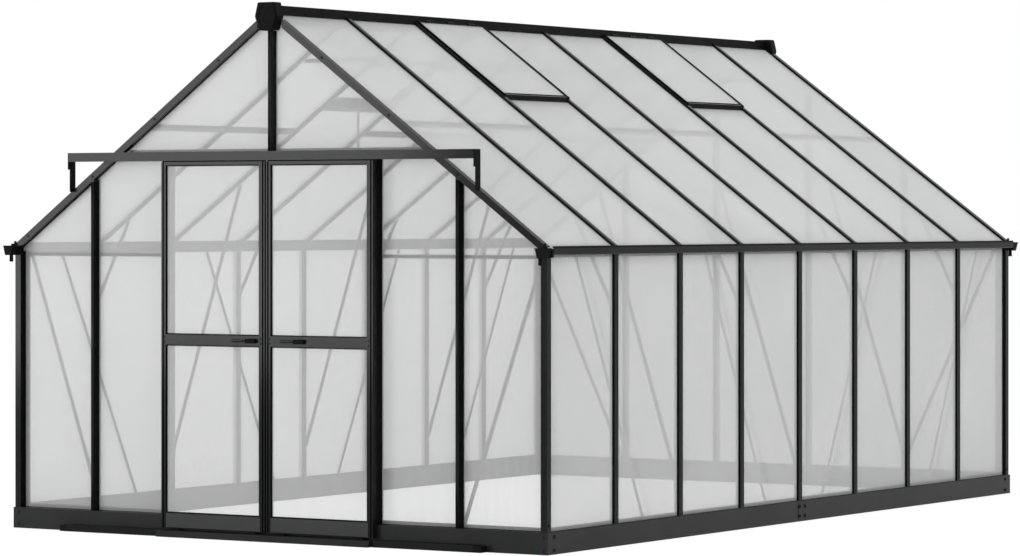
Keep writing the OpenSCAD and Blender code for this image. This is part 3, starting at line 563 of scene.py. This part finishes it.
gutterOut = nodeBox["gutter_right"][1][0]
hopperX = gutterOut - outlet["width"] / 2
low, rim, top = outlet["top"] - outlet["height"], outlet["top"] - outlet["rim"], outlet["top"]
soft = outlet["soft"]
hopper = np.stack([hopperRing(outlet["foot"], low, 2 * soft),
                   hopperRing(outlet["foot"], low + outlet["edge"]),
                   hopperRing(outlet["width"] - outlet["flare"], rim, soft),
                   hopperRing(outlet["width"], rim + soft),
                   hopperRing(outlet["width"], top - soft),
                   hopperRing(outlet["width"], top, soft),
                   hopperRing(outlet["width"], top, outlet["wall"]),
                   hopperRing(outlet["width"] - outlet["taper"], top - outlet["sunk"], outlet["wall"])])
barbs = [(0.0085, 0.001), (0.0085, -0.003), (0.0100, -0.006), (0.0085, -0.010), (0.0100, -0.016),
         (0.0085, -0.020), (0.0100, -0.026), (0.0090, -0.032), (0.0068, -0.032), (0.0068, -0.012)]
tab = roundedRect(gutterOut - postX - 0.0015, outlet["height"] - 0.006, 0.002, 2)
nubW, nubD, nubH = outlet["nub"]
parts = []
for side in (-1, 1):
    for end, edge in ((1, frontY), (-1, backY)):
        place = np.array([side * hopperX, edge - end * outlet["reach"] / 2, 0])
        parts.append(tubes((hopper * (side, end, 1) + place)[None]))
        spoutY = edge - end * (outlet["reach"] - outlet["spoutIn"])
        parts.append(lathes(barbs, (side * (hopperX - outlet["spoutSide"]), spoutY, low), upright, 16))
        tabAt = np.array([side * (gutterOut + postX + 0.0005) / 2, edge - end * 0.002, (low + top) / 2])
        parts.append(prisms(tab, tabAt, tabAt + (0, end * (outlet["tab"] + 0.002), 0), acrossX, upright))
        nubAt = np.array([side * (postX - nubW / 2), edge - end * nubD / 2, top - 0.001])
        parts.append(prisms(roundedRect(nubW, nubD, 0.002, 2), nubAt, nubAt + (0, 0, nubH + 0.001),
                            acrossX, (0, 1, 0)))
dressPiece("outletHoppers", parts, darkPlasticAndShade, "greenhouse", ("gutter_outlets",))

# gutters: the trough with a rounded foot, and a black strip along its outer lip that paints the shade of the
# rolled lip
gutterBox = nodeBox["gutter_right"]
trough = {"wall": 0.003, "bend": 0.005, "clip": 0.008, "lipShadeWide": 0.0064}
innerTop = roofZ(wall["x"] + trough["wall"], -wall["sheet"] - 2 * roof["fit"]) - roof["fit"]


def bend(centre, radius, start, steps=4):
    # a quarter arc from the angle start, turning anticlockwise
    t = math.radians(start) + np.linspace(0, math.pi / 2, steps + 1)
    return np.stack([centre[0] + radius * np.cos(t), centre[1] + radius * np.sin(t)], -1)


def troughPath(inset):
    # down the inner wall, round two quarter bends and up the outer wall, a little inside its skin
    size, turn = trough["bend"], trough["bend"] - inset
    return np.concatenate([[(x0 + inset, innerTop)], bend((x0 + size, z0 + size), turn, 180),
                           bend((x1 - size, z0 + size), turn, 270), [(x1 - inset, lipShadeZ)]])


x0, x1, z0 = gutterBox[0][0], gutterBox[1][0], gutterBox[0][2]
lipShadeZ = gutterBox[1][2] - trough["clip"]
channel = np.concatenate([troughPath(0), troughPath(trough["wall"])[::-1]])
# the black strip is painted shade: the dark band at the top of the gutter's rolled lip
clip = roundedRect(trough["lipShadeWide"], trough["clip"] + 0.0005, 0.0012, 2)
clip = clip + (x1 - trough["lipShadeWide"] / 2 - roof["fit"], lipShadeZ + trough["clip"] / 2)
ends = (0, gutterBox[0][1], 0), (0, gutterBox[1][1], 0)
for sideName, side in (("Left", -1), ("Right", 1)):
    lipShadeFaces = prisms(clip, *ends, (side, 0, 0), upright)
    verts, faces, kinds = joinPanels([prisms(channel, *ends, (side, 0, 0), upright), lipShadeFaces])
    kinds[-len(lipShadeFaces[1]):] = 1
    addPiece("gutterTrough" + sideName, verts, faces, [frameCoat, darkPlasticAndShade], "greenhouse",
             ("gutter_" + sideName.lower(),), kinds)

# base: corner bolts, splice plates and their bolts
base = {"side": nodeBox["base_right"][1][0], "boltUp": (0.020, 0.080), "boltIn": (0.028, 0.060),
        "head": 0.014, "plate": (0.090, 0.082, 0.0022), "plateBolt": (0.028, 0.024),
        "plateRound": 0.006}
centres, axes = [], []
for side in (-1, 1):
    for end, edge in ((-1, frontY), (1, backY)):
        for z in base["boltUp"]:
            centres.append((side * (base["side"] - base["boltIn"][0]), edge, z))
            axes.append((0, end, 0))
            centres.append((side * base["side"], edge - end * base["boltIn"][1], z))
            axes.append((side, 0, 0))
plateW, plateH, plateT = base["plate"]
plates, plateUp = [], nodeBox["base_front"][1][2] / 2
plateProfile = roundedRect(plateW, plateH, base["plateRound"])
for spot, along, out in (((base["side"], barLines[4], plateUp), (0, 1, 0), (1, 0, 0)),
                         ((-base["side"], barLines[4], plateUp), (0, 1, 0), (-1, 0, 0)),
                         ((0, backY, plateUp), (1, 0, 0), (0, 1, 0))):
    spot, along, out = np.array(spot), np.array(along), np.array(out)
    plates.append(prisms(plateProfile, spot - 0.001 * out, spot + plateT * out, along, upright))
    for a in (-1, 1):
        for b in (-1, 1):
            aside, above = base["plateBolt"]
            centres.append(spot + a * aside * along + (0, 0, b * above) + plateT * out)
            axes.append(out)
dressPiece("basePlates", plates, baseFinishAndReflection, "greenhouse")
dressPiece("baseBolts", boltHeads(centres, axes, base["head"]), baseFinishAndReflection, "greenhouse")

# bolts of the frame: verge joints, posts and back studs
frameBolt = {"head": 0.010, "verge": (0.30, 0.68, gable["stud"], 1.46), "under": 0.003, "up": 0.030,
             "postIn": 0.022}
centres, axes = [], []
for side in (-1, 1):
    for end, edge in ((-1, frontY), (1, backY)):
        for x in frameBolt["verge"]:
            centres.append((side * x, edge, roofZ(x, -frameBolt["under"])))
            axes.append((0, end, 0))
        centres.append((side * postX, edge - end * frameBolt["postIn"], baseTop + frameBolt["up"]))
        axes.append((side, 0, 0))
for x in (gable["backIn"], gable["backOut"]):
    for side in (-1, 1):
        centres.append((side * x, backY, baseTop + frameBolt["up"]))
        axes.append((0, 1, 0))
dressPiece("frameBolts", boltHeads(centres, axes, frameBolt["head"]), frameCoat, "greenhouse")
print("frame dressed")

# ridge caps: the six-sided outline in rings that shrink towards the bevelled face
capBox = nodeBox["ridge_caps"]
cap = {"foot": 0.080, "wide": 0.130, "top": 0.096, "height": 0.134, "bevel": 0.010, "radius": 0.006,
       "deep": 0.050, "front": 0.0599, "sunk": [(0.021, 0.060), (0.023, 0.0585), (0.023, 0.0570)]}


def softOutline(points, radius, steps=3):
    # each corner becomes a quadratic curve between the points one radius before and after it
    points = np.asarray(points, float)
    before, after = np.roll(points, 1, 0), np.roll(points, -1, 0)
    back = points + radius * (before - points) / np.linalg.norm(before - points, axis=1)[:, None]
    forth = points + radius * (after - points) / np.linalg.norm(after - points, axis=1)[:, None]
    t = np.linspace(0, 1, steps + 1)[None, :, None]
    curve = (1 - t) ** 2 * back[:, None] + 2 * t * (1 - t) * points[:, None] + t ** 2 * forth[:, None]
    return curve.reshape(-1, 2)


halfHigh = cap["height"] / 2
capOutline = np.array([(-cap["foot"], -cap["height"]), (cap["foot"], -cap["height"]), (cap["wide"], 0),
                       (cap["top"], cap["height"]), (-cap["top"], cap["height"]), (-cap["wide"], 0)]) / 2
capRing = softOutline(capOutline, cap["radius"])
t = np.linspace(0, math.pi / 2, 5)[1:]
sunkShrink, sunkDepth = np.array(cap["sunk"]).T
shrinkRow = np.concatenate([[0.0, 0.0], cap["bevel"] * (1 - np.cos(t)), sunkShrink])
depthRow = np.concatenate([[0.0, cap["deep"]], cap["deep"] + cap["bevel"] * np.sin(t), sunkDepth])
parts = []
for end, edge in ((-1, frontY), (1, backY)):
    scale = 1 - shrinkRow[:, None] / (cap["wide"] / 2, halfHigh)
    flatRings = capRing[None] * scale[:, None]
    y = edge - end * capRoom["deep"] + end * np.minimum(depthRow, cap["front"])
    rings = np.stack([flatRings[..., 0], np.broadcast_to(y[:, None], flatRings.shape[:2]),
                      flatRings[..., 1] + capBox[0][2] + halfHigh], -1)
    parts.append(tubes(rings[None]))
dressPiece("ridgeEndCaps", parts, darkPlasticAndShade, "greenhouse", ("ridge_caps",))

# hinge knuckles along the vents' upper edges: three barrels with a groove between two of them
parts = []
hinge = {"radius": 0.005, "length": 0.060, "x": 0.022, "up": 0.002, "places": np.array([0.18, 0.5, 0.82])}
knuckle = np.array([(0.6, 0), (1, 0.001), (1, 0.019), (0.8, 0.0195), (0.8, 0.0205), (1, 0.021), (1, 0.039),
                    (0.8, 0.0395), (0.8, 0.0405), (1, 0.041), (1, 0.059), (0.6, 0.060)])
knuckle = knuckle * (hinge["radius"], 1)
for side in (-1, 1):
    for i in bays["vents"]:
        y = barLines[i] + bays["pitch"] * hinge["places"] - hinge["length"] / 2
        at = np.stack([np.full(len(y), side * hinge["x"]), y,
                       np.full(len(y), roofZ(hinge["x"], vent["rise"] + hinge["up"]))], -1)
        parts.append(lathes(knuckle, at, (0, 1, 0), 10))
dressPiece("ventHinges", parts, frameCoat, "greenhouse", smooth=True)

# black strips over the frames' side walls and along the low rail, and a bright strip along the rail's edge
# that paints its highlight
trim = {"inner": 0.0165, "near": 0.0085, "cover": 0.0125, "height": 0.007, "top": 0.0205, "endRoom": 0.017,
        "low": (0.006, 0.0026), "lowUp": 0.0035, "lip": (0.003, 0.0016), "glintUp": 0.0042, "raised": 0.0004}
black, railGlint = [], []
for side in (-1, 1):
    for i in bays["vents"]:
        v = trim["top"] - trim["height"] / 2
        nearY = barLines[i] + (trim["inner"] + trim["near"]) / 2
        farY = barLines[i + 1] - (trim["inner"] - trim["cover"]) / 2
        for y, width in ((nearY, trim["inner"] - trim["near"]), (farY, trim["inner"] + trim["cover"])):
            start, end = ((side * x, y, roofZ(x, v))
                          for x in (roof["ridgeHalf"] + 0.001, ventLow - 0.0005))
            black.append(prisms(roundedRect(width, trim["height"], 0.0015, 2), start, end,
                                (0, 1, 0), roofUp * (side, 1, 1)))
        run = barLines[i] + trim["endRoom"], barLines[i + 1] - trim["endRoom"]
        # the bright strip paints the highlight on the lit top edge of the black frame's wall
        for x, section, out in ((ventLow - vent["rail"] + trim["lowUp"], trim["low"], black),
                                (ventLow - trim["glintUp"], trim["lip"], railGlint)):
            start, end = ((side * x, y, roofZ(x, vent["rise"] + trim["raised"])) for y in run)
            out.append(prisms(roundedRect(*section, 0.0005, 2), start, end,
                              roofRun * (side, 1, 1), roofUp * (side, 1, 1)))
dressPiece("ventBlackStrips", black, rubberSeal, "greenhouse")
dressPiece("ventRailGlints", railGlint, zincAndGlintFinish, "greenhouse")

# perforated stays that hang from the vents' low rails, each with a hook
stay = {"width": 0.020, "thick": 0.003, "length": 0.250, "holes": 10, "hole": 0.0042, "steps": 16,
        "hook": [(0.004, -0.016), (0.006, -0.014), (0.006, 0.014), (0.004, 0.016)]}


def perforatedBar():
    # a row of square cells, each a ring between a circle and its square, joined front to back
    holes, steps = stay["holes"], stay["steps"]
    t = (np.arange(steps + 1) + 0.5) * 2 * math.pi / steps
    spokes = np.stack([np.cos(t), np.sin(t)], -1)
    cell = stay["length"] / holes
    circle = stay["hole"] * spokes
    square = spokes * (np.array([stay["width"], cell]) / 2 / np.abs(spokes)).min(1)[:, None]
    loop = np.stack([circle, square, square, circle, circle])          # (5, steps + 1, 2)
    depth = np.array([1, 1, -1, -1, 1]) * stay["thick"] / 2
    grid = np.stack([loop[..., 0], np.broadcast_to(depth[:, None], loop.shape[:2]), loop[..., 1]], -1)
    down = np.zeros((holes, 1, 1, 3))
    down[:, 0, 0, 2] = -cell * (np.arange(holes) + 0.5)
    verts = (grid[None] + down).reshape(-1, 3)
    faces = gridFaces(5, steps + 1)[None] + (np.arange(holes) * 5 * (steps + 1))[:, None, None]
    return verts[:, [1, 0, 2]], faces.reshape(-1, 4)


parts = []
for side in (-1, 1):
    for i in bays["vents"]:
        verts, faces = perforatedBar()
        head = np.array([side * ventLow, barLines[i] + bays["pitch"] / 2, roofZ(ventLow, -roof["rib"])])
        parts.append((verts + head - (0, 0, 0.001), faces, np.zeros(len(faces), int)))
        parts.append(lathes(stay["hook"], head - (0, 0, stay["length"] - 0.004), (0, 1, 0), 12))
dressPiece("ventStayBars", parts, zincAndGlintFinish, "greenhouse", ("vent_stays",))
print("vents dressed")


def layered(outline, place, layers):
    # point(layer, k) = place + outline_k scaled by the layer's width and height, its depth to the front
    wide, high, deep = np.array(layers, float).T[:, :, None]
    rings = np.stack(np.broadcast_arrays(wide * outline[:, 0], -deep, high * outline[:, 1]), -1)
    return tubes((rings + place)[None])


# doors: rubber round each sheet, brushes over the heads, lever and grip, lighter kick-rail strips that paint
# a reflection, screws
leaf = {"gasket": 0.005, "gasketDeep": 0.0028, "gasketOut": 0.0012, "brush": 0.0055, "brushIn": 0.002,
        "brushHalf": 0.0045, "bristle": 0.0018, "tooth": 0.0012}
handle = {"height": 0.022, "grip": 0.062, "bolt": 0.080, "boltHead": 0.006, "lever": 0.066, "leverIn": 0.008,
          "leverOut": 0.0052, "leverThick": 0.0026, "thin": 0.0040, "swell": 0.0035,
          "plateFace": [(1, 1, 0), (1, 1, 0.0022), (0.994, 0.95, 0.003)],
          "gripFace": [(1, 1, 0.002), (1, 1, 0.0135), (0.985, 0.94, 0.0155), (0.95, 0.82, 0.0160),
                       (0.88, 0.62, 0.0158), (0.84, 0.50, 0.0120)]}
kick = {"side": 0.0275, "proud": 0.0002, "thick": 0.0014, "under": 0.004, "over": 0.002}
screw = {"in": (0.020, 0.022), "low": (0.018, 0.056), "mid": 0.013,
         "head": [(0.0042, 0), (0.0042, 0.0006), (0.0030, 0.0014), (0.0012, 0.0016)]}
grooved = roundedRect(leaf["gasket"], leaf["gasketDeep"], 0.001, 2)
for sideName in ("left", "right"):
    body = "door_" + sideName
    sheetLow, sheetHigh = nodeBox[body + "_sheets"]
    frameLow, frameHigh = nodeBox[body + "_frame"]
    face = sheetLow[1] - leaf["gasketOut"]
    parts = []
    for z0, z1 in ((sheetLow[2], door["midLow"]), (door["midTop"], sheetHigh[2])):
        thick = leaf["gasket"]
        uprightX = sheetLow[0] + thick / 2, sheetHigh[0] - thick / 2
        levelZ = z0 + thick / 2, z1 - thick / 2
        starts, ends = ([(x, face, z) for x in uprightX] for z in (z0, z1))
        parts.append(prisms(grooved, starts, ends, acrossX, outFront))
        starts, ends = ([(x, face, z) for z in levelZ] for x in (sheetLow[0] + thick, sheetHigh[0] - thick))
        parts.append(prisms(grooved, starts, ends, upright, outFront))
    dressPiece(sideName + "DoorGaskets", parts, rubberSeal, body)

    # brush: a saw-toothed curtain over the leaf's head, one tooth for each tuft
    count = int((frameHigh[0] - frameLow[0] - 2 * leaf["brushIn"]) / leaf["bristle"])
    x = np.linspace(frameLow[0] + leaf["brushIn"], frameHigh[0] - leaf["brushIn"], 2 * count + 1)
    teeth = leaf["brush"] - leaf["tooth"] * (np.arange(len(x)) % 2)
    z = frameHigh[2] + np.stack([np.full(len(x), -0.001), teeth])
    y = (frameLow[1] + frameHigh[1]) / 2 + np.array([-1, 1]) * leaf["brushHalf"]
    curtain = [(np.stack([np.broadcast_to(x, z.shape), np.full(z.shape, depth), z], -1).reshape(-1, 3),
                gridFaces(2, len(x)), np.zeros(2 * count, int)) for depth in y]
    dressPiece(sideName + "DoorBrush", curtain, rubberSeal, body)

    # handle: a stadium plate, a lever that swells towards its end, and a grip with a hollow
    handleLow, handleHigh = nodeBox[body + "_handle"]
    midZ = (handleLow[2] + handleHigh[2]) / 2
    plateAt = np.array([(handleLow[0] + handleHigh[0]) / 2, frameLow[1], midZ])
    radius = handle["height"] / 2
    plate = roundedRect(handleHigh[0] - handleLow[0], handle["height"], radius - 0.0002, 6)
    parts = [layered(plate, plateAt, handle["plateFace"])]
    u = np.linspace(0, 1, 14)
    leverX = handleLow[0] + handle["leverIn"] + handle["lever"] * u
    leverHalf = handle["thin"] + handle["swell"] * np.sin(math.pi * np.clip(u * 0.9 + 0.1, 0, 1)) ** 0.6
    t = np.arange(12) * 2 * math.pi / 12
    leverY = frameLow[1] - handle["leverOut"] - handle["leverThick"] * np.cos(t)
    leverZ = midZ + leverHalf[:, None] * np.sin(t)
    lever = np.stack(np.broadcast_arrays(leverX[:, None], leverY, leverZ), -1)
    parts.append(tubes(lever[None]))
    grip = roundedRect(handle["grip"], handle["height"], radius - 0.0002, 6)
    gripAt = np.array([handleHigh[0] - handle["grip"] / 2, frameLow[1], midZ])
    parts += boltHeads([(handleLow[0] + handle["bolt"], frameLow[1] - 0.003, midZ)], [(0, -1, 0)],
                       handle["boltHead"])
    gripFaces = layered(grip, gripAt, handle["gripFace"])
    verts, faces, kinds = joinPanels(parts + [gripFaces])
    kinds[-len(gripFaces[1]):] = 1
    addPiece(sideName + "DoorHandle", verts, faces, [frameCoat, darkPlasticAndShade], body,
             (body + "_handle",), kinds)

    # lighter strips on the kick rails' faces: painted reflection of the bright ground in front
    low, high = frameLow[2] + kick["under"], sheetLow[2] - kick["over"]
    start, end = ((x, frameLow[1] + kick["proud"], (low + high) / 2)
                  for x in (frameLow[0] + kick["side"], frameHigh[0] - kick["side"]))
    strip = prisms(roundedRect(kick["thick"], high - low, 0.0006, 2), start, end, outFront, upright)
    dressPiece(sideName + "DoorKickReflection", [strip], kickReflectionFinish, body)

    # screws in the rails' ends, two at each corner of the leaf
    screwZ = [frameLow[2] + up for up in screw["low"]]
    screwZ += [door["midLow"] + screw["mid"], door["midTop"] - screw["mid"]]
    spots = [(x, frameLow[1], z) for x in (frameLow[0] + screw["in"][0], frameHigh[0] - screw["in"][1])
             for z in screwZ]
    dressPiece(sideName + "DoorScrews", [lathes(screw["head"], spots, outFront, 12)], darkPlasticAndShade, body)
print("doors dressed")

# threshold: fine treads along the ramp's front slope
rampBox = nodeBox["threshold_ramp"]
rampRun = rampBox[1][1] - rampBox[0][1]
tread = {"count": 4, "size": 0.0016, "sideRoom": 0.010}
t = (np.arange(tread["count"]) + 0.7) / (tread["count"] + 0.6)
rampSlope = np.array([0, rampRun / 2, rampBox[1][2]])
starts = np.array([rampBox[0][0] + tread["sideRoom"], rampBox[0][1], 0]) + t[:, None] * rampSlope
ends = starts + (rampBox[1][0] - rampBox[0][0] - 2 * tread["sideRoom"], 0, 0)
slopeUp = rampSlope / np.linalg.norm(rampSlope)
parts = [prisms(roundedRect(tread["size"], tread["size"] * 2, 0.0006, 2), starts, ends,
                np.cross(slopeUp, acrossX), slopeUp)]
dressPiece("rampTreads", parts, baseFinishAndReflection, "greenhouse")
print("threshold dressed")

studio = {"floorHalf": (7.0, 7.5), "floorSteps": 9, "floorDrop": 0.0005, "ambient": 0.62,
          "floorGlow": 0.80, "floorGrey": 0.30, "floorBounce": 0.8}


def makeFloor():
    # a grid whose heights are all zero
    steps = studio["floorSteps"]
    x, y = np.meshgrid(*(np.linspace(-reach, reach, steps) for reach in studio["floorHalf"]))
    verts = np.stack([x, y, np.full_like(x, -studio["floorDrop"])], -1).reshape(-1, 3)
    mesh = bpy.data.meshes.new("floor")
    mesh.from_pydata(verts.tolist(), [], gridFaces(steps, steps).tolist())
    floor = bpy.data.objects.new("floor", mesh)
    scene.collection.objects.link(floor)
    material = bpy.data.materials.new("floorPaint")
    material.use_nodes = True
    nodes, links = material.node_tree.nodes, material.node_tree.links
    nodes.clear()
    output = nodes.new("ShaderNodeOutputMaterial")
    paint = nodes.new("ShaderNodeBsdfDiffuse")
    paint.inputs["Color"].default_value = (studio["floorGrey"],) * 3 + (1,)
    bounce = nodes.new("ShaderNodeBsdfDiffuse")
    bounce.inputs["Color"].default_value = (studio["floorBounce"],) * 3 + (1,)
    glow = nodes.new("ShaderNodeEmission")
    glow.inputs["Strength"].default_value = studio["floorGlow"]
    add = nodes.new("ShaderNodeAddShader")
    links.new(paint.outputs[0], add.inputs[0])
    links.new(glow.outputs[0], add.inputs[1])
    seen = seenRays(nodes, links)
    mix = nodes.new("ShaderNodeMixShader")
    links.new(seen, mix.inputs["Fac"])
    links.new(bounce.outputs[0], mix.inputs[1])
    links.new(add.outputs[0], mix.inputs[2])
    links.new(mix.outputs[0], output.inputs["Surface"])
    mesh.materials.append(material)
    return floor


def seenRays(nodes, links):
    # 1 for rays that look at the backdrop: camera, glossy and transmission rays
    path = nodes.new("ShaderNodeLightPath")
    first = nodes.new("ShaderNodeMath")
    first.operation = "MAXIMUM"
    links.new(path.outputs["Is Camera Ray"], first.inputs[0])
    links.new(path.outputs["Is Glossy Ray"], first.inputs[1])
    second = nodes.new("ShaderNodeMath")
    second.operation = "MAXIMUM"
    links.new(first.outputs[0], second.inputs[0])
    links.new(path.outputs["Is Transmission Ray"], second.inputs[1])
    return second.outputs[0]


def makeWorld():
    # white where it is looked at, softer where it lights
    world = bpy.data.worlds.new("studio")
    scene.world = world
    world.use_nodes = True
    nodes, links = world.node_tree.nodes, world.node_tree.links
    nodes.clear()
    output = nodes.new("ShaderNodeOutputWorld")
    ambient = nodes.new("ShaderNodeBackground")
    ambient.inputs["Color"].default_value = (1, 1, 1, 1)
    ambient.inputs["Strength"].default_value = studio["ambient"]
    white = nodes.new("ShaderNodeBackground")
    white.inputs["Color"].default_value = (1, 1, 1, 1)
    mix = nodes.new("ShaderNodeMixShader")
    links.new(seenRays(nodes, links), mix.inputs["Fac"])
    links.new(ambient.outputs[0], mix.inputs[1])
    links.new(white.outputs[0], mix.inputs[2])
    links.new(mix.outputs[0], output.inputs["Surface"])


lamps = {
    "leftBox": {"place": (-8.5, -12.94, 2.0), "aim": (-7.95, -12.10, 2.0), "size": (4.3, 3.4),
                "power": 460, "gloss": True},
    "frontFill": {"place": (-2.5, -13.0, 5.5), "aim": (0.3, -2.4, 1.1), "size": (7.0, 4.0),
                  "power": 290, "gloss": False},
    "rightBox": {"place": (9.0, -2.0, 7.0), "aim": (0, 0, 1.0), "size": (5.0, 4.0),
                 "power": 300, "gloss": False},
    "topBox": {"place": (0.0, 0.0, 8.0), "aim": (0, 0, 0), "size": (6.0, 6.0), "power": 150, "gloss": False},
}


def makeLamp(name, look):
    # a softbox that looks at its aim
    data = bpy.data.lights.new(name, "AREA")
    data.shape = "RECTANGLE"
    data.size, data.size_y = look["size"]
    data.energy = look["power"]
    lamp = bpy.data.objects.new(name, data)
    lamp.location = look["place"]
    aim = np.array(look["aim"]) - np.array(look["place"])
    lamp.rotation_euler = Vector(aim).to_track_quat("-Z", "Y").to_euler()
    lamp.visible_glossy = look["gloss"]
    lamp.visible_camera = False
    scene.collection.objects.link(lamp)


makeFloor()
makeWorld()
for name, look in lamps.items():
    makeLamp(name, look)
print("studio lit")
